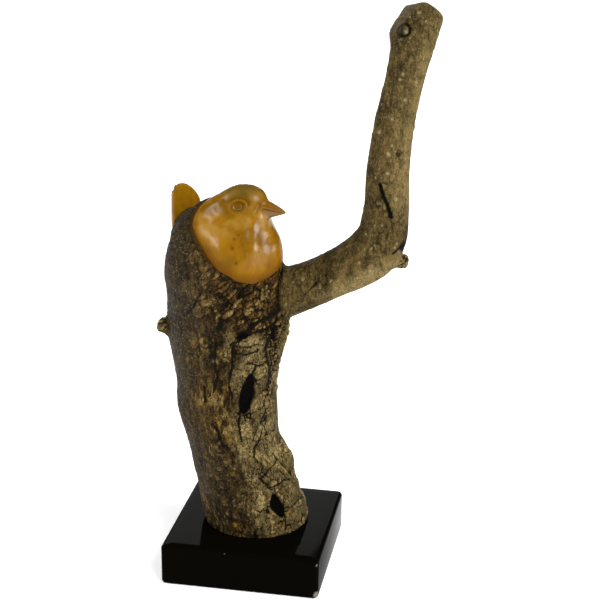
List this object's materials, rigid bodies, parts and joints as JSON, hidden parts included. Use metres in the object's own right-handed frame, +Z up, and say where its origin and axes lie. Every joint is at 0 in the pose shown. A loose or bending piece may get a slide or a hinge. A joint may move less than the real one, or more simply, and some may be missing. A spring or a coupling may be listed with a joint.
{
  "type": "wren sculpture",
  "caption": "Small bird carved in amber wood out of the bark-covered stem of a forked branch, upright limb beside it, on a square gloss black plinth.",
  "frame": {"origin": "centre of the plinth's underside", "axes": "+Z up along the branch, +X to the right of the front view, -Y is the front that the bird's breast faces"},
  "size_m": [0.1718, 0.102, 0.3668],
  "materials": {
    "natural_wood": "rough bark, with the bird and tail bare, waxed and amber",
    "black_lacquer": "high gloss black lacquer"
  },
  "bodies": {
    "root": {"carved_branch": "natural_wood", "plinth": "black_lacquer"}
  },
  "joints": []
}
